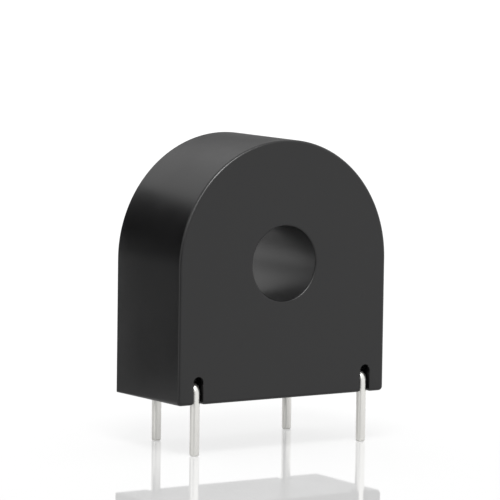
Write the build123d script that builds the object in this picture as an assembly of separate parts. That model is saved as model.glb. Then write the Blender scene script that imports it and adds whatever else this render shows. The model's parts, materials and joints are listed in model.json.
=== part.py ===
"""A potted current transformer for a printed circuit board, in millimetres.

The frame: +Z up, z = 0 at the pin tips, x = 0 on the plane of symmetry, y = 0 at the middle of
the case's depth. The front face, which carries the two pin notches, looks towards -Y.
"""

import os
from collections import namedtuple
from math import cos, radians, sin

from build123d import *

# The bore for the primary conductor, and the sleeve that carries it through the case
bore_diameter = 7.8
bore_front_chamfer = 0.2
bore_rear_chamfer = 0.1
sleeve_wall = 1.0

# The ring core, the layers round it from the inside out, and the room round the coil
core_build = 2.8
core_length = 5.75
core_clearance = 0.1
cushion_thickness = 0.35
lid_fit = 0.05
box_wall = 0.5
winding_inside = 1.0
winding_outside = 0.6
winding_sides = 0.8
tape_thickness = 0.15
coil_clearance = 0.4
cover_over_coil = 1.3
pad_diameter = 1.6
pad_angles = (30, 150, 270)

# The case, an arched cup moulded in one piece, closed at the front and open at the back
case_wall = 1.2
front_wall = 1.2
base_height = 1.25
corner_radius = 0.4
inner_corner_radius = 0.4
front_edge_radius = 0.35

# Round tinned pins
pin_diameter = 1.0
pin_free_length = 5.3
pin_tip_chamfer = 0.15

# Front pins: bent back through a right angle inside a notch, and held in a boss behind it
front_pin_edge_distance = 2.4
front_pin_setback = 0.65
pin_bend_radius = 0.8
leg_length = 4.8
leg_floor_gap = 0.2
notch_side_clearance = 0.1
notch_top_clearance = 0.5
notch_mouth_radius = 0.3
boss_side_wall = 1.15
boss_top_wall = 1.2
boss_back_wall = 1.35

# Rear pins: straight, through slots in the rear edge of the underside, and set in the resin
rear_pin_edge_distance = 4.55
rear_pin_inset = 0.7
rear_pin_embedded = 3.5
slot_side_clearance = 0.2
coin_spread = 0.08
coin_squeeze = 0.32
coin_length = 1.0
coin_corner_radius = 0.15

# The resin, which stops just short of the case's rim and of the underside
fill_recess = 0.15
slot_fill_recess = 0.1

# The ends of the winding, soldered to the inner legs of the front pins
lead_diameter = 0.3
lead_sleeve_wall = 0.2
lead_bare_length = 1.4
lead_start_depth = 0.3
solder_radius = 0.8
solder_tip_radius = 0.3
solder_height = 1.3
solder_boss_gap = 0.3

# How near an edge has to be to a stated radius to be the one that is meant
match_tolerance = 0.001

# The coil's size, and the case's from it
pin_radius = pin_diameter / 2
bore_radius = bore_diameter / 2
sleeve_radius = bore_radius + sleeve_wall
layers_inside = tape_thickness + winding_inside + box_wall + core_clearance
layers_outside = core_clearance + box_wall + winding_outside + tape_thickness
layers_at_ends = 2 * (box_wall + winding_sides + tape_thickness)
coil_inner_radius = sleeve_radius + coil_clearance
coil_outer_radius = coil_inner_radius + layers_inside + core_build + layers_outside
coil_length = core_length + cushion_thickness + layers_at_ends
arch_radius = coil_outer_radius + coil_clearance + case_wall
case_width = 2 * arch_radius
case_depth = front_wall + coil_clearance + coil_length + cover_over_coil + fill_recess
case_height = 2 * arch_radius + base_height

# Heights, from the pin tips up
underside_z = pin_free_length
floor_z = underside_z + case_wall
bore_z = underside_z + base_height + arch_radius
slot_fill_z = underside_z + slot_fill_recess
leg_z = floor_z + leg_floor_gap + pin_radius
notch_top_z = leg_z + pin_radius + notch_top_clearance

# Depths, from the front face to the rim at the back
front_y = -case_depth / 2
rear_y = case_depth / 2
cavity_y = front_y + front_wall
fill_y = rear_y - fill_recess
front_pin_y = front_y + front_pin_setback
notch_end_y = front_pin_y + pin_bend_radius
boss_end_y = notch_end_y + boss_back_wall
solder_y = boss_end_y + solder_boss_gap + solder_radius
leg_end_y = front_pin_y + leg_length
rear_pin_y = rear_y - rear_pin_inset

# Places across the width, and the radii of what the pins and leads pass through
front_pin_x = arch_radius - front_pin_edge_distance
rear_pin_x = arch_radius - rear_pin_edge_distance
notch_radius = pin_radius + notch_side_clearance
slot_radius = pin_radius + slot_side_clearance
lead_radius = lead_diameter / 2
lead_sleeve_radius = lead_radius + lead_sleeve_wall

# A ring about the bore's axis: its inner and outer radius, and where it starts and ends in depth
Ring = namedtuple("Ring", "inner outer front rear")


def shrunk(ring, inside, outside, ends):
    """The ring that is left when a layer is taken off the inside, the outside and both ends."""
    return Ring(
        ring.inner + inside, ring.outer - outside, ring.front + ends, ring.rear - ends
    )


coil_front_y = cavity_y + coil_clearance
coil_ring = Ring(
    coil_inner_radius, coil_outer_radius, coil_front_y, coil_front_y + coil_length
)
winding_ring = shrunk(coil_ring, tape_thickness, tape_thickness, tape_thickness)
box_ring = shrunk(winding_ring, winding_inside, winding_outside, winding_sides)
bay_ring = shrunk(box_ring, box_wall, box_wall, box_wall)
core_ring = Ring(
    bay_ring.inner + core_clearance,
    bay_ring.outer - core_clearance,
    bay_ring.front,
    bay_ring.front + core_length,
)


def facing_front(y):
    """A drawing plane across the case at this depth, seen from the front, x right and z up."""
    return Plane(origin=(0, y, 0), x_dir=(1, 0, 0), z_dir=(0, -1, 0))


def across(sketch, front, rear):
    """A sketch drawn as seen from the front, made solid from one depth to the other."""
    return extrude(facing_front(rear) * sketch, rear - front)


def arch_outline(inset, corner):
    """The case's outline, or one that lies inside it: straight sides under a half circle."""
    half, floor = arch_radius - inset, underside_z + inset
    sides = Polyline((-half, bore_z), (-half, floor), (half, floor), (half, bore_z))
    arch = CenterArc((0, bore_z), half, 0, 180)
    face = make_face([sides, arch])
    return fillet(face.vertices().sort_by(Axis.Y)[:2], corner)


def round_bar(radius, front, rear):
    """A plain cylinder on the bore's axis."""
    return across(Pos(0, bore_z) * Circle(radius), front, rear)


def ring_solid(ring):
    """A plain ring about the bore's axis."""
    section = Pos(0, bore_z) * (Circle(ring.outer) - Circle(ring.inner))
    return across(section, ring.front, ring.rear)


def make_case(front_pins):
    """The moulded cup with its bore sleeve, coil pads, pin notches, bosses and rear slots."""
    case = across(arch_outline(0, corner_radius), front_y, rear_y)
    case = fillet(case.faces().sort_by(Axis.Y)[0].edges(), front_edge_radius)
    case -= across(arch_outline(case_wall, inner_corner_radius), cavity_y, rear_y)
    case += round_bar(sleeve_radius, cavity_y, rear_y)
    for angle in pad_angles:
        case += coil_pad(angle)
    for side in (-1, 1):
        case += pin_boss(side)
    case -= round_bar(bore_radius, front_y, rear_y)
    case = chamfer(bore_rims(case)[0], bore_front_chamfer)
    case = chamfer(bore_rims(case)[-1], bore_rear_chamfer)
    for side in (-1, 1):
        case -= pin_notch(side)
        case -= rear_slot(side, underside_z, rear_y)
    return case - front_pins


def bore_rims(case):
    """The circles where the bore ends, the front one first."""
    circles = case.edges().filter_by(GeomType.CIRCLE)
    rims = circles.filter_by(lambda edge: abs(edge.radius - bore_radius) < match_tolerance)
    return rims.sort_by(Axis.Y)


def coil_pad(angle):
    """A low round pad inside the front wall, which keeps the coil off it so that resin gets behind."""
    middle = (coil_ring.inner + coil_ring.outer) / 2
    place = Pos(middle * cos(radians(angle)), bore_z + middle * sin(radians(angle)))
    return across(place * Circle(pad_diameter / 2), cavity_y, coil_ring.front)


def pin_boss(side):
    """The block inside the bottom corner that closes the notch and grips the pin's leg."""
    inner_side = front_pin_x - notch_radius - boss_side_wall
    width = arch_radius - case_wall - inner_side
    height = notch_top_z + boss_top_wall - floor_z
    middle = Pos(side * (inner_side + width / 2), floor_z + height / 2)
    return across(middle * Rectangle(width, height), cavity_y, boss_end_y)


def pin_notch(side):
    """The arched notch in the front face, as deep as the pin's bend, with a rounded mouth below."""
    centre_z = notch_top_z - notch_radius
    height = centre_z - underside_z
    slot = Pos(0, centre_z) * Circle(notch_radius)
    slot += Pos(0, underside_z + height / 2) * Rectangle(2 * notch_radius, height)
    flare = Pos(0, underside_z + notch_mouth_radius / 2) * Rectangle(
        2 * (notch_radius + notch_mouth_radius), notch_mouth_radius
    )
    for hand in (-1, 1):
        corner = Pos(hand * (notch_radius + notch_mouth_radius), underside_z + notch_mouth_radius)
        flare -= corner * Circle(notch_mouth_radius)
    return across(Pos(side * front_pin_x, 0) * (slot + flare), front_y, notch_end_y)


def rear_slot(side, bottom, rear):
    """The round-ended slot through the floor at its rear edge, from this height up to the cavity."""
    length = rear - rear_pin_y
    shape = Circle(slot_radius) + Rectangle(
        2 * slot_radius, length, align=(Align.CENTER, Align.MIN)
    )
    plane = Plane(origin=(side * rear_pin_x, rear_pin_y, bottom))
    return extrude(plane * shape, floor_z - bottom)


def front_pin(side):
    """A pin that stands in the notch, bends back and runs through the boss into the resin."""
    x = side * front_pin_x
    path = FilletPolyline(
        (x, front_pin_y, 0),
        (x, front_pin_y, leg_z),
        (x, leg_end_y, leg_z),
        radius=pin_bend_radius,
    )
    pin = sweep(Plane((x, front_pin_y, 0)) * Circle(pin_radius), path)
    return chamfer(tip_rim(pin), pin_tip_chamfer)


def tip_rim(pin):
    """The circle round the pin's lower end."""
    return pin.edges().filter_by(GeomType.CIRCLE).sort_by(Axis.Z)[0]


def rear_pin(side):
    """A straight pin with a coined flat where the resin holds it, so that it can't turn or pull out."""
    coin_end_z = slot_fill_z + coin_length
    pin_end_z = underside_z + rear_pin_embedded
    coin = RectangleRounded(
        pin_diameter + coin_spread, pin_diameter - coin_squeeze, coin_corner_radius
    )
    pin = extrude(Circle(pin_radius), slot_fill_z)
    pin += extrude(Pos(0, 0, slot_fill_z) * coin, coin_length)
    pin += extrude(Pos(0, 0, coin_end_z) * Circle(pin_radius), pin_end_z - coin_end_z)
    return Pos(side * rear_pin_x, rear_pin_y, 0) * chamfer(tip_rim(pin), pin_tip_chamfer)


def towards_leg(side):
    """From the bore's axis to the axis of the pin's leg, at the depth of the solder joint."""
    return Vector(side * front_pin_x, 0, leg_z - bore_z)


def lead_bar(side, radius, start, short_of_leg):
    """A round bar that runs from the coil straight at the pin's leg and stops short of its axis."""
    route = towards_leg(side)
    out = route.normalized()
    foot = Vector(0, solder_y, bore_z) + out * start
    return extrude(Plane(origin=foot, z_dir=out) * Circle(radius), route.length - short_of_leg - start)


def bare_lead(side):
    """The winding's own wire, from inside its outermost turns to the leg."""
    return lead_bar(side, lead_radius, winding_ring.outer - lead_start_depth, pin_radius)


def sleeved_lead(side):
    """A lead and its sleeve as one bar, which starts on the winding and stops short of the solder."""
    start = winding_ring.outer - lead_start_depth
    bar = lead_bar(side, lead_sleeve_radius, start, pin_radius + lead_bare_length)
    return bar - ring_solid(winding_ring)


def solder_joint(side, pin, lead):
    """A cone of solder that wraps the near side of the leg and runs up the end of the lead."""
    leg = Vector(side * front_pin_x, solder_y, leg_z)
    back_up_the_lead = Plane(origin=leg, z_dir=-towards_leg(side))
    foot_at_leg = (Align.CENTER, Align.CENTER, Align.MIN)
    cone = Cone(solder_radius, solder_tip_radius, solder_height, align=foot_at_leg)
    return back_up_the_lead * cone - pin - lead


def make_tape(sleeved_leads):
    """The tape over the winding, with a hole where each sleeved lead comes out."""
    return ring_solid(coil_ring) - ring_solid(winding_ring) - sleeved_leads


def make_winding(leads):
    """All the turns as one ring, thicker inside the ring than outside, round the core box."""
    return ring_solid(winding_ring) - ring_solid(box_ring) - leads


def make_box_cup():
    """The core box's cup, open towards the back."""
    return ring_solid(box_ring) - ring_solid(bay_ring._replace(rear=box_ring.rear))


def make_box_lid():
    """The core box's lid, a flat ring let into the mouth of the cup."""
    inner, outer = bay_ring.inner + lid_fit, bay_ring.outer - lid_fit
    return ring_solid(Ring(inner, outer, bay_ring.rear, box_ring.rear))


def make_potting(case, set_in_resin):
    """The resin: whatever the case's inside leaves free round the coil, leads, solder and pins."""
    resin = across(arch_outline(case_wall, inner_corner_radius), cavity_y, fill_y)
    for side in (-1, 1):
        resin += rear_slot(side, slot_fill_z, fill_y)
        resin -= pin_notch(side)
    resin -= round_bar(sleeve_radius, cavity_y, rear_y)
    resin -= case
    resin -= ring_solid(coil_ring)
    return resin - set_in_resin


def make_nodes():
    """Every piece by its node's name."""
    nodes = {}
    leads, sleeved_leads = [], []
    for side, hand, end in ((-1, "left", "start"), (1, "right", "finish")):
        lead, sleeved = bare_lead(side), sleeved_lead(side)
        pin = front_pin(side)
        nodes[f"pin_front_{hand}"] = pin
        nodes[f"pin_rear_{hand}"] = rear_pin(side)
        nodes[f"lead_{end}"] = lead
        nodes[f"lead_sleeve_{end}"] = sleeved - lead
        nodes[f"solder_joint_{hand}"] = solder_joint(side, pin, lead)
        leads.append(lead)
        sleeved_leads.append(sleeved)
    case = make_case([nodes["pin_front_left"], nodes["pin_front_right"]])
    nodes["potting"] = make_potting(case, list(nodes.values()))
    nodes["case"] = case
    nodes["outer_tape"] = make_tape(sleeved_leads)
    nodes["secondary_winding"] = make_winding(leads)
    nodes["core_box_cup"] = make_box_cup()
    nodes["core_box_lid"] = make_box_lid()
    nodes["core"] = ring_solid(core_ring)
    nodes["core_cushion"] = ring_solid(
        core_ring._replace(front=core_ring.rear, rear=bay_ring.rear)
    )
    return nodes


os.makedirs("parts", exist_ok=True)
for name, solid in make_nodes().items():
    export_step(solid, f"parts/{name}.step")
    print(name, round(solid.volume, 2), "mm3")
print("case", round(case_width, 2), "wide", round(case_depth, 2), "deep", round(case_height, 2), "high")
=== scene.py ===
# %% [markdown]
# # A potted current transformer
# The object is a small black box with an arched top, a bore through it and four tinned legs. It is
# filled with resin from behind, so most of what you see is one moulded case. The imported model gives
# every piece its size and place. This notebook dresses it: it rebuilds the pieces that show, with
# the small roundings that catch light, and gives each one the finish of its real material.

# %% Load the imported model
import json
import math

import bmesh
import bpy
from mathutils import Matrix, Vector


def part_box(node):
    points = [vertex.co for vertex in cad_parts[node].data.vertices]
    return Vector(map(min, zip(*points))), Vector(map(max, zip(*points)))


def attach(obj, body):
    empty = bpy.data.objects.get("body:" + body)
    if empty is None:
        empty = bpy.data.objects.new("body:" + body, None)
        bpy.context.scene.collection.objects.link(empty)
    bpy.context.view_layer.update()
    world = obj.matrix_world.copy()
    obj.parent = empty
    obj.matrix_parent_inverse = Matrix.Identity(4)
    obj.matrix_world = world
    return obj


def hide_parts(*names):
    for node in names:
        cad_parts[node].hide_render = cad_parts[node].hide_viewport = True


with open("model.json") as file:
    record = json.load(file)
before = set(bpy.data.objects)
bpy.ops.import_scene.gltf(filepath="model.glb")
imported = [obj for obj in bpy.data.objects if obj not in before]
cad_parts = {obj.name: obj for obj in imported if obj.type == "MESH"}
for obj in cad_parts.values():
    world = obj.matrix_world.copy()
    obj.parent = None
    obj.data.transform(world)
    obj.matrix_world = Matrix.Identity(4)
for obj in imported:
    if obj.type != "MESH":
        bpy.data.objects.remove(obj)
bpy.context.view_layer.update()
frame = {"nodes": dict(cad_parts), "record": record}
print("nodes in the model:", len(frame["nodes"]))

# %% [markdown]
# ## Sizes
# Blender works in metres, and a drawing of a part this small is in millimetres, so sizes below are
# written in millimetres and multiplied by MM. Places are read from the model instead of being typed
# again: the case's box gives its width, depth and height, the box of the resin inside it gives the
# walls, and the mounts in the model's record give the radii of the bore and the pins. Only sizes
# that no box gives, such as the radius of a notch, are repeated where they are needed.

# %% Places that the model gives
MM = 0.001
case_low, case_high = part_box("case")
resin_low, resin_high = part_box("potting")
coil_low, coil_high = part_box("outer_tape")
mounts = {mount["name"]: mount for mount in frame["record"]["mounts"]}

front_y, rear_y = case_low.y, case_high.y
underside_z = case_low.z
arch_radius = case_high.x
bore_z = case_high.z - arch_radius
bore_radius = mounts["bore"]["dims"]["r_mm"] * MM
pin_radius = mounts["pin_front_left"]["dims"]["r_mm"] * MM
side_wall = arch_radius - resin_high.x
cavity_y = resin_low.y
floor_z = underside_z + side_wall
print("wall in mm:", round(side_wall / MM, 2), "bore height in mm:", round(bore_z / MM, 2))

# %% [markdown]
# ## Camera
# The photograph was taken from far away with a long lens, from the left and slightly above, with
# the camera tilted by under a degree. A camera can be dragged about until the picture looks right,
# but a few plain facts are easier to read and to correct: the point it looks at, how far off it
# stands, its three angles and its lens. Without a camera a scene shows nothing, so it comes first.

# %% Place the camera
aim = Vector((-0.169, 0.218, 20.18)) * MM
distance = 401.455 * MM
azimuth, elevation, tilt = math.radians(-33.685), math.radians(5.996), math.radians(0.814)
near_clip, far_clip = 10 * MM, 20000 * MM


def in_scene(name, data):
    """A new object with its data, linked into the scene."""
    made = bpy.data.objects.new(name, data)
    bpy.context.scene.collection.objects.link(made)
    return made


back = Vector((
    math.sin(azimuth) * math.cos(elevation),
    -math.cos(azimuth) * math.cos(elevation),
    math.sin(elevation),
))
camera_data = bpy.data.cameras.new("camera")
# Blender takes a lens and a sensor in millimetres as they are.
camera_data.lens, camera_data.sensor_width = 276.64, 36.0
camera_data.clip_start, camera_data.clip_end = near_clip, far_clip
camera = in_scene("camera", camera_data)
camera.rotation_mode = "QUATERNION"
camera.location = aim + back * distance
camera.rotation_quaternion = (
    back.to_track_quat("Z", "Y") @ Matrix.Rotation(tilt, 3, "Z").to_quaternion()
)
bpy.context.scene.camera = camera
bpy.context.scene.view_settings.view_transform = "Standard"
print("camera at, in mm:", [round(c / MM, 1) for c in camera.location])

# %% [markdown]
# ## Helpers for meshes
# The case is a moulding, and a moulding is easy to describe as a stack of outlines: each outline is
# the one before it, a little smaller or a little further back. Joining neighbouring outlines with
# quads gives walls and rounded edges whose faces run evenly, and such faces shade smoothly.

# %% Rings of points, joined into walls
merge_distance = 0.0001 * MM


def add_ring(mesh, points):
    """Adds one closed ring of points to the mesh and returns its vertices in order."""
    return [mesh.verts.new(point) for point in points]


def join_rings(mesh, rings):
    """Joins each ring to the next with a band of quads."""
    for first, second in zip(rings, rings[1:]):
        count = len(first)
        for i in range(count):
            j = (i + 1) % count
            mesh.faces.new((first[i], first[j], second[j], second[i]))


def fill_between(mesh, outer, inner):
    """Fills a flat area that has a hole, between an outer ring and an inner one."""
    edges = []
    for ring in (outer, inner):
        for a, b in zip(ring, ring[1:] + ring[:1]):
            edges.append(mesh.edges.get((a, b)) or mesh.edges.new((a, b)))
    bmesh.ops.triangle_fill(mesh, edges=edges, use_beauty=True)


def to_object(mesh, name):
    """Turns a finished bmesh into an object in the scene whose faces all point outwards."""
    bmesh.ops.remove_doubles(mesh, verts=mesh.verts, dist=merge_distance)
    bmesh.ops.recalc_face_normals(mesh, faces=mesh.faces)
    data = bpy.data.meshes.new(name)
    mesh.to_mesh(data)
    mesh.free()
    return in_scene(name, data)


def stacked(name, rings):
    """A closed solid from a stack of rings, with a flat cap at each end."""
    mesh = bmesh.new()
    made = [add_ring(mesh, ring) for ring in rings]
    join_rings(mesh, made)
    for end in (made[0], made[-1]):
        mesh.faces.new(end)
    return to_object(mesh, name)


print("points nearer than this are merged, in mm:", round(merge_distance / MM, 4))


# %% Arcs, circles and roundings
def arc(centre_x, centre_z, radius, start, end, steps):
    """Points along an arc in a plane, angles in degrees, both ends included."""
    angles = [math.radians(start + (end - start) * i / steps) for i in range(steps + 1)]
    return [(centre_x + radius * math.cos(a), centre_z + radius * math.sin(a)) for a in angles]


def at_depth(outline, y):
    """An outline of x and z as a ring at one depth."""
    return [Vector((x, y, z)) for x, z in outline]


def circle(radius, y, steps, x=0, z=bore_z):
    """A ring of points at one depth, about the bore's axis unless another middle is given."""
    return at_depth(arc(x, z, radius, 0, 360, steps)[:-1], y)


def rounded(start, end, steps):
    """A quarter circle in steps: the share of its radius still to go, from 1 to 0, and the depth."""
    turns = [math.pi / 2 * i / steps for i in range(steps + 1)]
    return [(1 - math.sin(t), start + (end - start) * (1 - math.cos(t))) for t in turns]


print("a rounding in three steps:", [(round(s, 2), round(d, 2)) for s, d in rounded(0, 1, 3)])

# %% [markdown]
# ## The case
# The real case is one injection moulding: an arched cup with a sleeve through it, closed in front
# and open behind. Its edges are what light picks out, so none that shows is left sharp: the front
# edge has a real radius, and the others have the small one that a mould leaves. A Bevel modifier
# could round a plain block, but it keeps one radius along an edge, and the two bottom corners are
# rounder in front than at the open end. So the roundings are rings of the outline itself.

# %% The outline, at any inset
front_edge_radius = 0.35 * MM
front_corner_radius, rear_corner_radius = 0.45 * MM, 0.12 * MM
inner_corner_radius = 0.4 * MM
arch_steps, corner_steps = 160, 10


def case_outline(inset, y, corner):
    """The arched outline at one depth, moved inwards by the inset."""
    half, floor = arch_radius - inset, underside_z + inset
    points = arc(-half + corner, floor + corner, corner, 180, 270, corner_steps)
    points += arc(half - corner, floor + corner, corner, 270, 360, corner_steps)
    points += arc(0, bore_z, half, 0, 180, arch_steps)
    return at_depth(points, y)


print("points round the case:", len(case_outline(0, front_y, front_corner_radius)))

# %% The outer wall, the rim and the inner wall
rim_rounding = 0.06 * MM
edge_steps, rim_steps = 8, 3
rim = rounded(rear_y, rear_y - rim_rounding, rim_steps)

shell = bmesh.new()
outer_rings = []
for share, y in rounded(front_y, front_y + front_edge_radius, edge_steps):
    inset = share * front_edge_radius
    outer_rings.append(add_ring(shell, case_outline(inset, y, front_corner_radius - inset)))
for share, y in reversed(rim):
    inset = share * rim_rounding
    outer_rings.append(add_ring(shell, case_outline(inset, y, rear_corner_radius - inset)))
for share, y in rim:
    grow = share * rim_rounding
    outer_rings.append(add_ring(shell, case_outline(side_wall - grow, y, inner_corner_radius + grow)))
outer_rings.append(add_ring(shell, case_outline(side_wall, cavity_y, inner_corner_radius)))
join_rings(shell, outer_rings)
print("rings from the front face round the rim to the cavity:", len(outer_rings))

# %% The bore and its sleeve, and the flat faces that close the shell
sleeve_wall = 1.0 * MM
bore_front_rounding, bore_rear_rounding = 0.2 * MM, 0.1 * MM
circle_steps = 144
front_rounding = rounded(front_y, front_y + bore_front_rounding, edge_steps)
rear_rounding = rounded(rear_y, rear_y - bore_rear_rounding, edge_steps)

sleeve_sizes = [(bore_radius + share * bore_front_rounding, y) for share, y in front_rounding]
sleeve_sizes += [(bore_radius + share * bore_rear_rounding, y) for share, y in reversed(rear_rounding)]
sleeve_sizes += [(bore_radius + sleeve_wall - share * rim_rounding, y) for share, y in rim]
sleeve_sizes.append((bore_radius + sleeve_wall, cavity_y))
bore_rings = [add_ring(shell, circle(radius, y, circle_steps)) for radius, y in sleeve_sizes]
join_rings(shell, bore_rings)

fill_between(shell, outer_rings[0], bore_rings[0])
fill_between(shell, outer_rings[-1], bore_rings[-1])
case = to_object(shell, "moulded_case")
print("shell faces:", len(case.data.polygons))

# %% [markdown]
# The bosses, pads, notches and slots could be drawn into the shell's own rings, but they cross its
# walls at odd places. A Boolean modifier finds such crossings by itself, so they are added and cut
# with that. A cutter can carry a detail of its own: each notch cutter widens a little at its mouth,
# so that the notch comes out with a softened rim and needs no bevel afterwards.


# %% Adding and cutting
def apply_modifiers(target):
    """Replaces an object's mesh by what its modifiers make of it, and removes them."""
    graph = bpy.context.evaluated_depsgraph_get()
    result = bpy.data.meshes.new_from_object(target.evaluated_get(graph))
    target.modifiers.clear()
    target.data = result


def combine(target, tool, operation):
    """Adds or cuts a tool with a Boolean modifier, applies it and removes the tool."""
    modifier = target.modifiers.new(operation.lower(), "BOOLEAN")
    modifier.operation = operation
    modifier.solver = "EXACT"
    modifier.object = tool
    apply_modifiers(target)
    bpy.data.objects.remove(tool)


# Pads and bosses reach this far into the walls, and cutters past them, so no two faces coincide.
buried = 0.2 * MM
pad_radius, pad_angles, pad_steps = 0.8 * MM, (30, 150, 270), 32
pad_circle = (coil_high.x + bore_radius + sleeve_wall + (coil_low.y - cavity_y)) / 2
for angle in pad_angles:
    turn = math.radians(angle)
    x, z = pad_circle * math.cos(turn), bore_z + pad_circle * math.sin(turn)
    depths = (cavity_y - buried, coil_low.y)
    combine(case, stacked("pad", [circle(pad_radius, y, pad_steps, x, z) for y in depths]), "UNION")
print("coil pads at radius, in mm:", round(pad_circle / MM, 2))

# %% Sizes of the notches for the front pins, and of the bosses behind them
notch_radius = 0.6 * MM
notch_mouth_radius = 0.3 * MM
notch_rim = 0.05 * MM
notch_top_gap = 0.5 * MM
pin_bend_radius = 0.8 * MM
boss_side_wall = 1.15 * MM
boss_top_wall = 1.2 * MM
boss_back_wall = 1.35 * MM
leg_hole_gap = 0.005 * MM
front_pin_low, front_pin_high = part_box("pin_front_right")
front_pin_x = (front_pin_low.x + front_pin_high.x) / 2
front_pin_y = front_pin_low.y + pin_radius
leg_z = front_pin_high.z - pin_radius
leg_end_y = front_pin_high.y
notch_top_z = leg_z + pin_radius + notch_top_gap
notch_end_y = front_pin_y + pin_bend_radius
boss_end_y = notch_end_y + boss_back_wall
print("front pins at, in mm:", round(front_pin_x / MM, 2), round(front_pin_y / MM, 2))

# %% The outlines of a notch and a boss
cut_past = 1.0 * MM
mouth_steps, slot_end_steps = 8, 24


def notch_outline(side, grow):
    """A slot with a round top and a mouth that flares into the underside."""
    x, radius, mouth = side * front_pin_x, notch_radius + grow, notch_mouth_radius
    below = underside_z - cut_past
    reach = radius + mouth
    points = [(x + reach, below)]
    points += arc(x + reach, underside_z + mouth, mouth, 270, 180, mouth_steps)
    points += arc(x, notch_top_z - notch_radius, radius, 0, 180, slot_end_steps)
    points += arc(x - reach, underside_z + mouth, mouth, 0, -90, mouth_steps)
    return points + [(x - reach, below)]


def boss_outline(side):
    """The four corners of a boss, buried a little in the wall and the floor."""
    low_x, high_x = sorted((
        side * (front_pin_x - notch_radius - boss_side_wall), side * (arch_radius - side_wall + buried)
    ))
    low_z, high_z = floor_z - buried, notch_top_z + boss_top_wall
    return [(low_x, low_z), (high_x, low_z), (high_x, high_z), (low_x, high_z)]


print("points round a notch:", len(notch_outline(1, 0)), "and a boss:", len(boss_outline(1)))

# %% Add the bosses, and cut the notches and the holes for the pins' legs
# A share of 2 lets a cutter flare on outside the face that it cuts, so that no two faces coincide.
outside_share = 2
softened_steps, leg_hole_steps = 4, 48

notch_depths = [(outside_share, front_y - notch_rim)]
notch_depths += rounded(front_y, front_y + notch_rim, softened_steps)
notch_depths.append((0, notch_end_y))
for side in (-1, 1):
    boss = [at_depth(boss_outline(side), y) for y in (cavity_y - buried, boss_end_y)]
    notch = [at_depth(notch_outline(side, share * notch_rim), y) for share, y in notch_depths]
    leg_hole = [
        circle(pin_radius + leg_hole_gap, y, leg_hole_steps, side * front_pin_x, leg_z)
        for y in (notch_end_y - buried, boss_end_y + buried)
    ]
    combine(case, stacked("boss", boss), "UNION")
    combine(case, stacked("notch", notch), "DIFFERENCE")
    combine(case, stacked("leg hole", leg_hole), "DIFFERENCE")
print("case faces with bosses and notches:", len(case.data.polygons))

# %% The slots for the rear pins
slot_radius = 0.7 * MM
slot_rim = 0.05 * MM
rear_pin_low, rear_pin_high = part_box("pin_rear_right")
rear_pin_x = (rear_pin_low.x + rear_pin_high.x) / 2
rear_pin_y = rear_pin_low.y + pin_radius


def slot_ring(side, grow, z):
    """A slot with a round front end that runs out through the rim, as a ring at one height."""
    x, radius, beyond = side * rear_pin_x, slot_radius + grow, rear_y + cut_past
    points = [(x - radius, beyond)] + arc(x, rear_pin_y, radius, 180, 360, slot_end_steps)
    return [Vector((px, py, z)) for px, py in points + [(x + radius, beyond)]]


slot_heights = [(outside_share, underside_z - slot_rim)]
slot_heights += rounded(underside_z, underside_z + slot_rim, softened_steps)
slot_heights.append((0, floor_z + buried))
for side in (-1, 1):
    slot = [slot_ring(side, share * slot_rim, z) for share, z in slot_heights]
    combine(case, stacked("slot", slot), "DIFFERENCE")
print("rear pins at, in mm:", round(rear_pin_x / MM, 2), round(rear_pin_y / MM, 2))

# %% [markdown]
# Large flat faces next to narrow roundings shade badly when every corner takes the average of its
# faces: the flat face bends in the light. Weighted normals let the large face win, so it stays
# flat and the rounding alone turns. Edges sharper than a set angle stay crisp.


# %% Even shading
def even_shading(target, crisp_angle=35):
    """Smooth faces, crisp edges above an angle in degrees, and corner normals led by the large faces."""
    target.data.polygons.foreach_set("use_smooth", [True] * len(target.data.polygons))
    target.data.set_sharp_from_angle(angle=math.radians(crisp_angle))
    modifier = target.modifiers.new("large faces lead", "WEIGHTED_NORMAL")
    modifier.keep_sharp = True
    apply_modifiers(target)


even_shading(case)
print("case corners with their own normals:", case.data.has_custom_normals)

# %% [markdown]
# ## Helpers for nodes
# A material and a Geometry Nodes tree are both node trees, so one small function serves both. It
# adds a node, sets its options, and fills its sockets: a socket that is handed another node's
# output is linked, and anything else is a plain value. Colours are written as hex codes, the way a
# paint chart gives them, and one function turns them into the linear light that shaders work in.


# %% One function for nodes, one for colours
def add(tree, kind, sockets=None, **options):
    """Adds a node with its options, and sets or links its sockets, by name or by number."""
    node = tree.nodes.new(kind)
    for option, value in options.items():
        setattr(node, option, value)
    for key, value in (sockets or {}).items():
        if isinstance(value, bpy.types.NodeSocket):
            tree.links.new(value, node.inputs[key])
        else:
            node.inputs[key].default_value = value
    return node


def linear(hex_code):
    """An sRGB hex colour as linear red, green and blue, and an alpha of 1."""
    values = [int(hex_code[i:i + 2], 16) / 255 for i in (1, 3, 5)]
    light = [v / 12.92 if v <= 0.04045 else ((v + 0.055) / 1.055) ** 2.4 for v in values]
    return (*light, 1.0)


def new_material(name):
    """An empty material and its node tree."""
    material = bpy.data.materials.new(name)
    material.use_nodes = True
    material.node_tree.nodes.clear()
    return material, material.node_tree


print("black plastic #161617 is, in linear light:", [round(c, 4) for c in linear("#161617")[:3]])

# %% [markdown]
# ## Moulded black nylon
# The case is glass-filled nylon, coloured through with carbon black, from a mould whose outer
# faces were eroded by sparks. Such a face is very dark by itself, and nearly all the light that it
# sends back is gloss, broken up by pits of under a tenth of a millimetre. The bore was moulded
# round a polished steel pin, which leaves a skin with a stronger gloss, and the pin was drawn out
# of it, which blurs that gloss. Two materials would meet in a hard line, so one material serves
# both, and distance from the bore's axis tells it where it is.

# %% What the case's skin is like
pit_width, pit_depth, pit_relief = 0.09 * MM, 0.01 * MM, 0.25
flow_width = 6.0 * MM
case_roughness, bore_roughness = (0.28, 0.34), 0.4
case_gloss, bore_gloss = 0.5, 0.9
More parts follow.
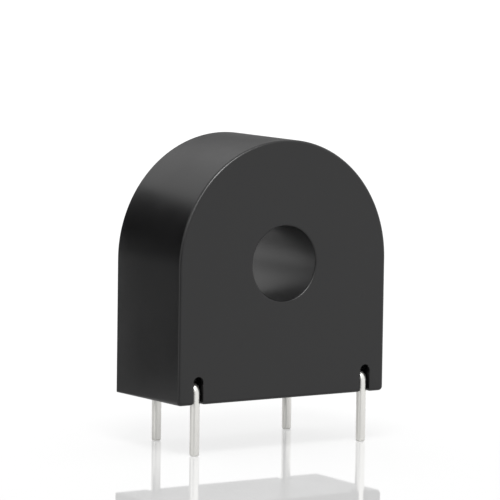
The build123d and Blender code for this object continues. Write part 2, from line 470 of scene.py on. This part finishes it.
# The bore's skin ends between these distances outside its wall.
skin_from, skin_to = 0.005 * MM, 0.03 * MM
# Noise seldom leaves this range, so it is stretched from there.
noise_low, noise_high = 0.3, 0.7


def about_bore(tree, place):
    """A place measured from the bore's axis instead of from the origin."""
    return add(tree, "ShaderNodeVectorMath", {0: place, 1: (0, 0, -bore_z)}, operation="ADD").outputs[0]


def from_axis(tree, place):
    """Distance from the bore's axis, from a place in object coordinates."""
    across = add(tree, "ShaderNodeVectorMath", {
        0: about_bore(tree, place), 1: (1, 0, 1),
    }, operation="MULTIPLY")
    return add(tree, "ShaderNodeVectorMath", {0: across.outputs[0]}, operation="LENGTH").outputs["Value"]


print("pits per millimetre:", round(MM / pit_width, 1))

# %% The case's finish
nylon, tree = new_material("moulded black nylon")
place = add(tree, "ShaderNodeTexCoord").outputs["Object"]
pits = add(tree, "ShaderNodeTexNoise", {"Vector": place, "Scale": 1 / pit_width, "Detail": 2.0})
flow = add(tree, "ShaderNodeTexNoise", {"Vector": place, "Scale": 1 / flow_width, "Detail": 3.0})
shade = add(tree, "ShaderNodeMapRange", {
    "Value": flow.outputs["Fac"], "From Min": noise_low, "From Max": noise_high,
    "To Min": case_roughness[0], "To Max": case_roughness[1],
})
outside = add(tree, "ShaderNodeMapRange", {
    "Value": from_axis(tree, place),
    "From Min": bore_radius + skin_from, "From Max": bore_radius + skin_to,
})
roughness = add(tree, "ShaderNodeMix", {
    "Factor": outside.outputs["Result"], "A": bore_roughness, "B": shade.outputs["Result"],
}, data_type="FLOAT")
gloss = add(tree, "ShaderNodeMix", {
    "Factor": outside.outputs["Result"], "A": bore_gloss, "B": case_gloss,
}, data_type="FLOAT")
colour = add(tree, "ShaderNodeMix", {
    "Factor": flow.outputs["Fac"], "A": linear("#0c0c0d"), "B": linear("#121213"),
}, data_type="RGBA")
relief = add(tree, "ShaderNodeBump", {
    "Height": pits.outputs["Fac"], "Strength": pit_relief, "Distance": pit_depth,
})
shader = add(tree, "ShaderNodeBsdfPrincipled", {
    "Base Color": colour.outputs["Result"], "Roughness": roughness.outputs["Result"], "IOR": 1.5,
    "Specular IOR Level": gloss.outputs["Result"], "Normal": relief.outputs["Normal"],
})
add(tree, "ShaderNodeOutputMaterial", {"Surface": shader.outputs[0]})
case.data.materials.clear()
case.data.materials.append(nylon)
print("nodes in the nylon:", len(tree.nodes))

# %% Hand the case over
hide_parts("case")
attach(case, "root")

# %% [markdown]
# ## Poured black epoxy
# Epoxy is poured in from behind with the case face down, and levels itself. The model's own solid
# has that shape already, down to the hollow for the coil, so it stays and only gets its finish.
# Cured epoxy is glossy like wet paint. It wets the walls and climbs them by a tenth of a
# millimetre, and the surface carries slow ripples and a few specks of dust. The climb is drawn as
# relief: its height follows the distance to the nearest wall, which a few nodes work out from the
# same outline that the case has.

# %% Distance from the resin to the nearest wall
epoxy, tree = new_material("poured black epoxy")
place = add(tree, "ShaderNodeTexCoord").outputs["Object"]
parts = add(tree, "ShaderNodeSeparateXYZ", {0: place})
sideways = add(tree, "ShaderNodeMath", {0: parts.outputs["X"]}, operation="ABSOLUTE").outputs[0]
axis_distance = from_axis(tree, place)
above_bore = add(tree, "ShaderNodeMath", {0: parts.outputs["Z"], 1: bore_z}, operation="GREATER_THAN")
reach = add(tree, "ShaderNodeMix", {
    "Factor": above_bore.outputs[0], "A": sideways, "B": axis_distance,
}, data_type="FLOAT").outputs["Result"]
to_wall = add(tree, "ShaderNodeMath", {0: arch_radius - side_wall, 1: reach}, operation="SUBTRACT")
for measure, wall in ((parts.outputs["Z"], floor_z), (axis_distance, bore_radius + sleeve_wall)):
    to_other = add(tree, "ShaderNodeMath", {0: measure, 1: wall}, operation="SUBTRACT")
    to_wall = add(tree, "ShaderNodeMath", {
        0: to_wall.outputs[0], 1: to_other.outputs[0],
    }, operation="MINIMUM")
print("walls that the resin meets, as radii in mm:", [
    round(radius / MM, 2) for radius in (arch_radius - side_wall, bore_radius + sleeve_wall)
])

# %% The resin's finish
ripple_width, ripple_height = 5.0 * MM, 0.06 * MM
climb_width, climb_height = 0.5 * MM, 0.12 * MM
# A speck is a peak of the noise, between these two heights, and it is rougher than the rest.
speck_width, speck_from, speck_to = 0.3 * MM, 0.55, 0.75
clean_roughness, speck_roughness = 0.08, 0.25

climb = add(tree, "ShaderNodeMapRange", {
    "Value": to_wall.outputs[0], "From Max": climb_width, "To Min": climb_height, "To Max": 0.0,
}, interpolation_type="SMOOTHERSTEP")
ripples = add(tree, "ShaderNodeTexNoise", {"Vector": place, "Scale": 1 / ripple_width, "Detail": 0.0})
specks = add(tree, "ShaderNodeTexNoise", {"Vector": place, "Scale": 1 / speck_width, "Detail": 2.0})
height = add(tree, "ShaderNodeMath", {
    0: ripples.outputs["Fac"], 1: ripple_height, 2: climb.outputs["Result"],
}, operation="MULTIPLY_ADD")
# The height is in metres already, so the relief takes it as it is.
relief = add(tree, "ShaderNodeBump", {"Height": height.outputs[0], "Distance": 1.0})
roughness = add(tree, "ShaderNodeMapRange", {
    "Value": specks.outputs["Fac"], "From Min": speck_from, "From Max": speck_to,
    "To Min": clean_roughness, "To Max": speck_roughness,
})
colour = add(tree, "ShaderNodeMix", {
    "Factor": ripples.outputs["Fac"], "A": linear("#0b0b0c"), "B": linear("#131211"),
}, data_type="RGBA")
shader = add(tree, "ShaderNodeBsdfPrincipled", {
    "Base Color": colour.outputs["Result"], "Roughness": roughness.outputs["Result"],
    "IOR": 1.55, "Normal": relief.outputs["Normal"],
})
add(tree, "ShaderNodeOutputMaterial", {"Surface": shader.outputs[0]})
print("the resin climbs in mm:", round(climb_height / MM, 2), "within", round(climb_width / MM, 2))

# %% [markdown]
# ## The pins
# Each pin is a piece of round wire, cut, rounded at its tip and, in front, bent through a right
# angle. A cylinder would do for the straight ones but not for the bend. A wire is a circle carried
# along a path, which is what Curve to Mesh does in Geometry Nodes, so one tree makes all four. The
# path is a chain of points. Each point carries how thick the wire is there, which rounds the tip,
# and how flat it was pressed, which makes the coined grip of the rear pins. The tree also notes the
# place round and along the wire for the material.

# %% A tree that sweeps a wire
sweep = bpy.data.node_groups.new("sweep wire", "GeometryNodeTree")
for name, kind in (
    ("Path", "NodeSocketGeometry"), ("Wire Radius", "NodeSocketFloat"),
    ("Sides", "NodeSocketInt"), ("Spread", "NodeSocketFloat"), ("Finish", "NodeSocketMaterial"),
):
    sweep.interface.new_socket(name, in_out="INPUT", socket_type=kind)
sweep.interface.new_socket("Wire", in_out="OUTPUT", socket_type="NodeSocketGeometry")

given = add(sweep, "NodeGroupInput").outputs
position = add(sweep, "GeometryNodeInputPosition").outputs["Position"]
thickness = add(sweep, "GeometryNodeInputNamedAttribute", {"Name": "thickness"}, data_type="FLOAT")
squeeze = add(sweep, "GeometryNodeInputNamedAttribute", {"Name": "squeeze"}, data_type="FLOAT")
axis = add(sweep, "GeometryNodeInputNamedAttribute", {"Name": "axis"}, data_type="FLOAT_VECTOR")

path = add(sweep, "GeometryNodeMeshToCurve", {"Mesh": given["Path"]})
with_axis = add(sweep, "GeometryNodeStoreNamedAttribute", {
    "Geometry": path.outputs["Curve"], "Name": "axis", "Value": position,
}, data_type="FLOAT_VECTOR", domain="POINT")
with_length = add(sweep, "GeometryNodeStoreNamedAttribute", {
    "Geometry": with_axis.outputs["Geometry"], "Name": "along",
    "Value": add(sweep, "GeometryNodeSplineParameter").outputs["Length"],
}, data_type="FLOAT", domain="POINT")
ring = add(sweep, "GeometryNodeCurvePrimitiveCircle", {
    "Resolution": given["Sides"], "Radius": given["Wire Radius"],
})
with_place = add(sweep, "GeometryNodeStoreNamedAttribute", {
    "Geometry": ring.outputs["Curve"], "Name": "around", "Value": position,
}, data_type="FLOAT_VECTOR", domain="POINT")
swept = add(sweep, "GeometryNodeCurveToMesh", {
    "Curve": with_length.outputs["Geometry"], "Profile Curve": with_place.outputs["Geometry"],
    "Scale": thickness.outputs["Attribute"], "Fill Caps": True,
})
print("the tree's inputs and output:", [item.name for item in sweep.interface.items_tree])

# %% Pressing the wire flat, and closing the tree
pressed = add(sweep, "ShaderNodeMath", {0: 1.0, 1: squeeze.outputs["Attribute"]}, operation="SUBTRACT")
wider = add(sweep, "ShaderNodeMath", {
    0: pressed.outputs[0], 1: given["Spread"], 2: 1.0,
}, operation="MULTIPLY_ADD")
stretch = add(sweep, "ShaderNodeCombineXYZ", {
    "X": wider.outputs[0], "Y": squeeze.outputs["Attribute"], "Z": 1.0,
})
offset = add(sweep, "ShaderNodeVectorMath", {0: position, 1: axis.outputs["Attribute"]}, operation="SUBTRACT")
moved = add(sweep, "ShaderNodeVectorMath", {
    0: offset.outputs[0], 1: stretch.outputs[0], 2: axis.outputs["Attribute"],
}, operation="MULTIPLY_ADD")
shaped = add(sweep, "GeometryNodeSetPosition", {
    "Geometry": swept.outputs["Mesh"], "Position": moved.outputs[0],
})
real = add(sweep, "GeometryNodeRealizeInstances", {"Geometry": shaped.outputs["Geometry"]})
coated = add(sweep, "GeometryNodeSetMaterial", {
    "Geometry": real.outputs["Geometry"], "Material": given["Finish"],
})
add(sweep, "NodeGroupOutput", {"Wire": coated.outputs["Geometry"]})
print("nodes in the tree:", len(sweep.nodes))

# %% [markdown]
# ## Bright tin
# The pins are drawn steel wire with a few thousandths of a millimetre of bright tin. Tin is a pale,
# slightly warm metal. Drawing leaves fine lines along the wire, and tin softens them, so the gloss
# is a little blurred, and more so across the wire than along it. The lines could be a picture
# wrapped round the wire, but a noise stretched along it has no seam. They are too fine to show at
# their real width and are drawn a tenth of a millimetre apart.

# %% The pins' finish
line_width, line_length = 0.1 * MM, 6.0 * MM
line_depth, line_relief = 0.01 * MM, 0.06
tin_roughness = 0.32, 0.4

tin, tree = new_material("bright tinned wire")
around = add(tree, "ShaderNodeAttribute", attribute_name="around").outputs["Vector"]
along = add(tree, "ShaderNodeAttribute", attribute_name="along").outputs["Fac"]
spread = add(tree, "ShaderNodeVectorMath", {0: around, "Scale": 1 / line_width}, operation="SCALE")
drawn_out = add(tree, "ShaderNodeMath", {0: along, 1: 1 / line_length}, operation="MULTIPLY")
lengthwise = add(tree, "ShaderNodeCombineXYZ", {"Z": drawn_out.outputs[0]})
wire_place = add(tree, "ShaderNodeVectorMath", {
    0: spread.outputs[0], 1: lengthwise.outputs[0],
}, operation="ADD")
lines = add(tree, "ShaderNodeTexNoise", {"Vector": wire_place.outputs[0], "Scale": 1.0, "Detail": 2.0})
roughness = add(tree, "ShaderNodeMapRange", {
    "Value": lines.outputs["Fac"], "From Min": noise_low, "From Max": noise_high,
    "To Min": tin_roughness[0], "To Max": tin_roughness[1],
})
colour = add(tree, "ShaderNodeMix", {
    "Factor": lines.outputs["Fac"], "A": linear("#e0dfdb"), "B": linear("#ecebe7"),
}, data_type="RGBA")
relief = add(tree, "ShaderNodeBump", {
    "Height": lines.outputs["Fac"], "Strength": line_relief, "Distance": line_depth,
})
shader = add(tree, "ShaderNodeBsdfPrincipled", {
    "Base Color": colour.outputs["Result"], "Roughness": roughness.outputs["Result"],
    "Metallic": 1.0, "Normal": relief.outputs["Normal"],
})
add(tree, "ShaderNodeOutputMaterial", {"Surface": shader.outputs[0]})
print("drawn lines round a wire:", round(2 * math.pi * pin_radius / line_width))

# %% Paths for the four pins
tip_rounding = 0.2 * MM
tip_steps, bend_steps = 6, 16
coin_squeeze, coin_spread = 0.32, 0.25
coin_length = 1.0 * MM
coin_ramp = 0.05 * MM
whole, flat = 1.0, 1.0 - coin_squeeze


def tip(x, y):
    """The first points of a path, up through the rounded tip: place, thickness and squeeze."""
    points = []
    for share, z in rounded(0, tip_rounding, tip_steps):
        points.append((Vector((x, y, z)), 1 - share * tip_rounding / pin_radius, whole))
    return points


def front_path(side):
    """Up from the tip, round the bend and back through the boss."""
    x, radius = side * front_pin_x, pin_bend_radius
    bend = arc(front_pin_y + radius, leg_z - radius, radius, 180, 90, bend_steps)
    points = tip(x, front_pin_y) + [(Vector((x, y, z)), 1, whole) for y, z in bend]
    return points + [(Vector((x, leg_end_y, leg_z)), 1, whole)]


def rear_path(side):
    """Straight up, with the coined grip where the resin holds it."""
    x, points = side * rear_pin_x, tip(side * rear_pin_x, rear_pin_y)
    start, end = resin_low.z, resin_low.z + coin_length
    for z, squeezed in ((start, whole), (start + coin_ramp, flat), (end - coin_ramp, flat), (end, whole)):
        points.append((Vector((x, rear_pin_y, z)), 1, squeezed))
    return points + [(Vector((x, rear_pin_y, rear_pin_high.z)), 1, whole)]


print("points along a front pin:", len(front_path(1)), "and a rear pin:", len(rear_path(1)))

# %% Sweep them
wire_sides = 48


def wire(name, points):
    """A path of points as an object that the tree turns into a wire."""
    places, thicknesses, squeezes = zip(*points)
    data = bpy.data.meshes.new(name)
    data.from_pydata(places, [(i, i + 1) for i in range(len(places) - 1)], [])
    for attribute, values in (("thickness", thicknesses), ("squeeze", squeezes)):
        data.attributes.new(attribute, "FLOAT", "POINT").data.foreach_set("value", values)
    made = in_scene(name, data)
    modifier = made.modifiers.new("sweep", "NODES")
    modifier.node_group = sweep
    settings = {"Wire Radius": pin_radius, "Sides": wire_sides, "Spread": coin_spread, "Finish": tin}
    for item in sweep.interface.items_tree:
        if item.name in settings:
            modifier[item.identifier] = settings[item.name]
    apply_modifiers(made)
    return made


for side, hand in ((-1, "left"), (1, "right")):
    for row, points in (("front", front_path(side)), ("rear", rear_path(side))):
        pin = wire(f"tinned_pin_{row}_{hand}", points)
        even_shading(pin, crisp_angle=40)
        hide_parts(f"pin_{row}_{hand}")
        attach(pin, "root")
        print(pin.name, len(pin.data.polygons), "faces, materials:", [m.name for m in pin.data.materials])

# %% [markdown]
# ## The resin, and what it hides
# The resin keeps the model's own solid and takes the epoxy made above. The core, its box, the
# winding, the tape, the leads and the solder are sealed in it. Nobody sees them in a photograph,
# but the parts are in the model, and someone may take it apart on screen, so each gets the finish
# of its real material. Seven materials could be built one by one. They differ in little, so one
# function builds them from a few facts: two colours, a pattern and its width, the roughness, and
# whether it is metal. The pattern is a grain, rings about the bore like the core's wound strip, or
# turns round the coil like the winding and the tape. Wire and strip are finer than is drawn here.

# %% Patterns for the hidden pieces
ring_width, wire_width, tape_width = 0.2 * MM, 0.35 * MM, 5.0 * MM


def rings_about_bore(tree, place, width):
    """The phase of rings about the bore's axis, one ring to each width."""
    return add(tree, "ShaderNodeMath", {
        0: from_axis(tree, place), 1: 2 * math.pi / width,
    }, operation="MULTIPLY").outputs[0]


def whole_turns(width):
    """How many turns of a width lie side by side round the outside of the coil."""
    return round(2 * math.pi * coil_high.x / width)


def turns_round_coil(tree, place, width):
    """The phase of turns side by side round the coil, a whole number of them."""
    parts = add(tree, "ShaderNodeSeparateXYZ", {0: about_bore(tree, place)})
    turn = add(tree, "ShaderNodeMath", {
        0: parts.outputs["Z"], 1: parts.outputs["X"],
    }, operation="ARCTAN2")
    return add(tree, "ShaderNodeMath", {
        0: turn.outputs[0], 1: whole_turns(width),
    }, operation="MULTIPLY").outputs[0]


def waves(tree, phase):
    """Even waves between 0 and 1 from a phase."""
    wave = add(tree, "ShaderNodeMath", {0: phase}, operation="SINE")
    return add(tree, "ShaderNodeMapRange", {"Value": wave.outputs[0], "From Min": -1.0}).outputs["Result"]


print("turns drawn round the coil, wire and tape:", whole_turns(wire_width), whole_turns(tape_width))


# %% One function for the hidden finishes
hidden_relief, depth_share = 0.4, 0.25


def hidden_finish(name, dark, light, pattern, width, roughness, metal=0.0, coat=0.0):
    """A finish of two near colours in a grain, in rings or in turns, with relief to match."""
    material, tree = new_material(name)
    place = add(tree, "ShaderNodeTexCoord").outputs["Object"]
    if pattern == "rings":
        mark = waves(tree, rings_about_bore(tree, place, width))
    elif pattern == "turns":
        mark = waves(tree, turns_round_coil(tree, place, width))
    else:
        mark = add(tree, "ShaderNodeTexNoise", {
            "Vector": place, "Scale": 1 / width, "Detail": 2.0,
        }).outputs["Fac"]
    colour = add(tree, "ShaderNodeMix", {
        "Factor": mark, "A": linear(dark), "B": linear(light),
    }, data_type="RGBA")
    relief = add(tree, "ShaderNodeBump", {
        "Height": mark, "Strength": hidden_relief, "Distance": width * depth_share,
    })
    shader = add(tree, "ShaderNodeBsdfPrincipled", {
        "Base Color": colour.outputs["Result"], "Roughness": roughness, "Metallic": metal,
        "Coat Weight": coat, "Normal": relief.outputs["Normal"],
    })
    add(tree, "ShaderNodeOutputMaterial", {"Surface": shader.outputs[0]})
    return material


core_strip = hidden_finish("annealed core strip", "#6e6f70", "#8c8d8e", "rings", ring_width, 0.42, metal=1.0)
box_plastic = hidden_finish("natural moulded plastic", "#cfcbbd", "#dedacc", "grain", 0.4 * MM, 0.45)
foam = hidden_finish("soft foam", "#a9a9a4", "#c4c4be", "grain", 0.3 * MM, 0.9)
copper = hidden_finish(
    "enamelled copper wire", "#8c4a22", "#b8692f", "turns", wire_width, 0.3, metal=1.0, coat=0.8,
)
tape = hidden_finish("yellow polyester tape", "#c9a21e", "#d8b32c", "turns", tape_width, 0.25)
sleeving = hidden_finish("white insulating sleeve", "#d5d5d0", "#e4e4df", "grain", 0.3 * MM, 0.4)
solder = hidden_finish("bright solder", "#a9aaa8", "#c3c4c2", "grain", 0.5 * MM, 0.3, metal=1.0)
print("materials so far:", len(bpy.data.materials))

# %% Give them to the pieces that keep the model's shape
carried_over = {
    "potting": epoxy,
    "core": core_strip, "core_box_cup": box_plastic, "core_box_lid": box_plastic,
    "core_cushion": foam, "secondary_winding": copper, "outer_tape": tape,
    "lead_start": copper, "lead_finish": copper,
    "lead_sleeve_start": sleeving, "lead_sleeve_finish": sleeving,
    "solder_joint_left": solder, "solder_joint_right": solder,
}
for name, material in carried_over.items():
    for slot in frame["nodes"][name].material_slots:
        slot.material = material
print("pieces that keep the model's shape:", len(carried_over))

# %% [markdown]
# ## Floor
# The object stands on a sheet of glossy white acrylic that is lit from below, as product tables
# often are. It mirrors the pins and, faintly, the dark body. More lamps could make the sheet white,
# but they would make the object pale as well. So the sheet is a pale grey to the lamps, which keeps
# the object's shadow and mirror image on it. The glow from below is there only for the eye and for
# reflections, and adds no light to the object. The sheet's edge is too far away to show.

# %% The white sheet
half_sheet = 3000 * MM
sheet_glow = 0.37


def seen_or_mirrored(tree):
    """1 for what the eye, gloss and clear things see, and 0 for what only lights a surface."""
    ray = add(tree, "ShaderNodeLightPath").outputs
    seen = ray["Is Camera Ray"]
    for kind in ("Is Glossy Ray", "Is Transmission Ray"):
        seen = add(tree, "ShaderNodeMath", {0: seen, 1: ray[kind]}, operation="MAXIMUM").outputs[0]
    return seen


sheet_mesh = bmesh.new()
corners = [(x * half_sheet, y * half_sheet, 0) for x, y in ((-1, -1), (1, -1), (1, 1), (-1, 1))]
sheet_mesh.faces.new([sheet_mesh.verts.new(corner) for corner in corners])
sheet = to_object(sheet_mesh, "white_sheet")

acrylic, tree = new_material("glossy white acrylic sheet")
glow = add(tree, "ShaderNodeMath", {0: seen_or_mirrored(tree), 1: sheet_glow}, operation="MULTIPLY")
shader = add(tree, "ShaderNodeBsdfPrincipled", {
    "Base Color": linear("#a4a4a4"), "Roughness": 0.03, "IOR": 1.49,
    "Emission Color": (1, 1, 1, 1), "Emission Strength": glow.outputs[0],
})
add(tree, "ShaderNodeOutputMaterial", {"Surface": shader.outputs[0]})
sheet.data.materials.append(acrylic)
print("sheet in metres:", 2 * half_sheet)

# %% [markdown]
# ## Light
# The photograph was taken in a white surround, under a soft box high above the camera. The world is
# white to the camera and to reflections, and a little less bright as light, so that the background
# is clean and the object isn't pale. Glossy black shows its form only by what it mirrors, so a long
# strip light draws the bright line along the arch's front edge. It could be a bright patch in the
# world, but a lamp is easier to place. It is there for reflections alone.

# %% White surround and soft box
fill_strength, white_strength = 0.75, 1.0
soft_place, soft_width, soft_watts = Vector((-160, -250, 560)) * MM, 200 * MM, 1.4

world = bpy.data.worlds.new("white surround")
bpy.context.scene.world = world
world.use_nodes = True
tree = world.node_tree
tree.nodes.clear()
fill = add(tree, "ShaderNodeBackground", {"Color": (1, 1, 1, 1), "Strength": fill_strength})
white = add(tree, "ShaderNodeBackground", {"Color": (1, 1, 1, 1), "Strength": white_strength})
mixed = add(tree, "ShaderNodeMixShader", {
    0: seen_or_mirrored(tree), 1: fill.outputs[0], 2: white.outputs[0],
})
add(tree, "ShaderNodeOutputWorld", {"Surface": mixed.outputs[0]})

soft_data = bpy.data.lights.new("soft box", "AREA")
soft_data.shape, soft_data.size, soft_data.energy = "SQUARE", soft_width, soft_watts
soft = in_scene("soft box", soft_data)
soft.location = soft_place
soft.rotation_euler = (soft.location - aim).to_track_quat("Z", "Y").to_euler()
print("soft box at, in mm:", [round(c / MM) for c in soft.location])

# %% A strip for the bright line on the arch's front edge
strip_from, strip_to = Vector((100, -140, 430)) * MM, Vector((-330, -245, 215)) * MM
strip_height, strip_watts = 60 * MM, 0.8
strip_way = strip_to - strip_from

strip_data = bpy.data.lights.new("edge strip", "AREA")
strip_data.shape, strip_data.energy = "RECTANGLE", strip_watts
strip_data.size, strip_data.size_y = strip_way.length, strip_height
strip = in_scene("edge strip", strip_data)
strip.location = (strip_from + strip_to) / 2
away = (strip.location - aim).normalized()
length_way = (strip_way - strip_way.dot(away) * away).normalized()
strip.rotation_euler = Matrix((length_way, away.cross(length_way), away)).transposed().to_euler()
strip.visible_diffuse = False
print("strip in mm:", round(strip_data.size / MM), "long")

# %% [markdown]
# ## Cards
# In a studio, grey and black cards stand just outside the picture, and a glossy object mirrors
# them. Here they darken the left side and the start of the arch, shade the arch from behind, draw
# the dark line down the front corner and, from the floor, darken the upper half of the bore. Plain
# sheets would also show in the picture and take light, so these are seen by reflections alone. Only
# the side towards the object counts, and their edges fade, so that the floor mirrors no hard patch
# from another side.


# %% A card with faded edges
def fade_in(tree, share, width):
    """0 at the start of a share from 0 to 1, and 1 once it is past the width."""
    return add(tree, "ShaderNodeMapRange", {
        "Value": share, "From Min": 0.0, "From Max": width,
    }, interpolation_type="SMOOTHSTEP").outputs["Result"]


def card_finish(name, hex_code, corner, edges):
    """Paper that is clear from behind and fades out along two edges, each with its two fades."""
    material, tree = new_material(name)
    place = add(tree, "ShaderNodeTexCoord").outputs["Object"]
    there = add(tree, "ShaderNodeVectorMath", {0: place, 1: corner}, operation="SUBTRACT").outputs[0]
    turned = add(tree, "ShaderNodeNewGeometry").outputs["Backfacing"]
    solid = add(tree, "ShaderNodeMath", {0: 1.0, 1: turned}, operation="SUBTRACT").outputs[0]
    for edge, (first, last) in edges:
        share = add(tree, "ShaderNodeVectorMath", {
            0: there, 1: edge / edge.length_squared,
        }, operation="DOT_PRODUCT").outputs["Value"]
        left = add(tree, "ShaderNodeMath", {0: 1.0, 1: share}, operation="SUBTRACT").outputs[0]
        for way, width in ((share, first), (left, last)):
            if width:
                solid = add(tree, "ShaderNodeMath", {
                    0: solid, 1: fade_in(tree, way, width),
                }, operation="MULTIPLY").outputs[0]
    clear = add(tree, "ShaderNodeBsdfTransparent")
    paper = add(tree, "ShaderNodeBsdfDiffuse", {"Color": linear(hex_code)})
    shader = add(tree, "ShaderNodeMixShader", {0: solid, 1: clear.outputs[0], 2: paper.outputs[0]})
    add(tree, "ShaderNodeOutputMaterial", {"Surface": shader.outputs[0]})
    return material


print("cards face this point, in mm:", [round(c / MM, 1) for c in aim])


# %% Stand the cards up
def card(name, corner, run, rise, hex_code, fades):
    """A card from one corner along two edges, in millimetres, for reflections alone.

    The fades are shares of its size: where the run starts and ends, and where the rise does.
    """
    corner, run, rise = (Vector(way) * MM for way in (corner, run, rise))
    corners = [corner, corner + run, corner + run + rise, corner + rise]
    if run.cross(rise).dot(aim - corner) < 0:
        corners.reverse()
    data = bpy.data.meshes.new(name)
    data.from_pydata(corners, [], [(0, 1, 2, 3)])
    made = in_scene(name, data)
    made.visible_camera = made.visible_diffuse = made.visible_shadow = False
    data.materials.append(card_finish(name, hex_code, corner, ((run, fades[:2]), (rise, fades[2:]))))


black_paper = "#101010"
left_x, left_y = -22.3, 27.2
left_run, over_left_run = (-30.7, -20.5, 0), (4.8, 4.5, 0)
# Each row: name, corner, run, rise, colour and fades.
cards = (
    ("grey card at the left", (left_x, left_y, 0), left_run, (0, 0, 19), "#989898", (0.04, 0.35, 0.1, 0)),
    ("dark card at the left", (left_x, left_y, 19), left_run, (0, 0, 24), black_paper, (0, 0.35, 0, 0.08)),
    (
        "dark card over the left", (left_x, left_y, 24), over_left_run, (0, 0, 19),
        black_paper, (0, 0.3, 0, 0.08),
    ),
    ("grey card behind", (136, 63, 30), (-157, 86, 0), (0, 0, 73), "#a0a0a0", (0.2, 0.2, 0.15, 0.2)),
    ("grey card at the camera", (-228, -88, 0), (148, -102, 0), (0, 0, 60), "#404040", (0.2, 0.3, 0, 0.3)),
    ("grey card on the floor", (-30, 18, 0.1), (55, 0, 0), (0, 46, 0), "#aaaaaa", (0.2, 0.2, 0.2, 0.3)),
)
for facts in cards:
    card(*facts)
print("cards in the scene:", len(cards))
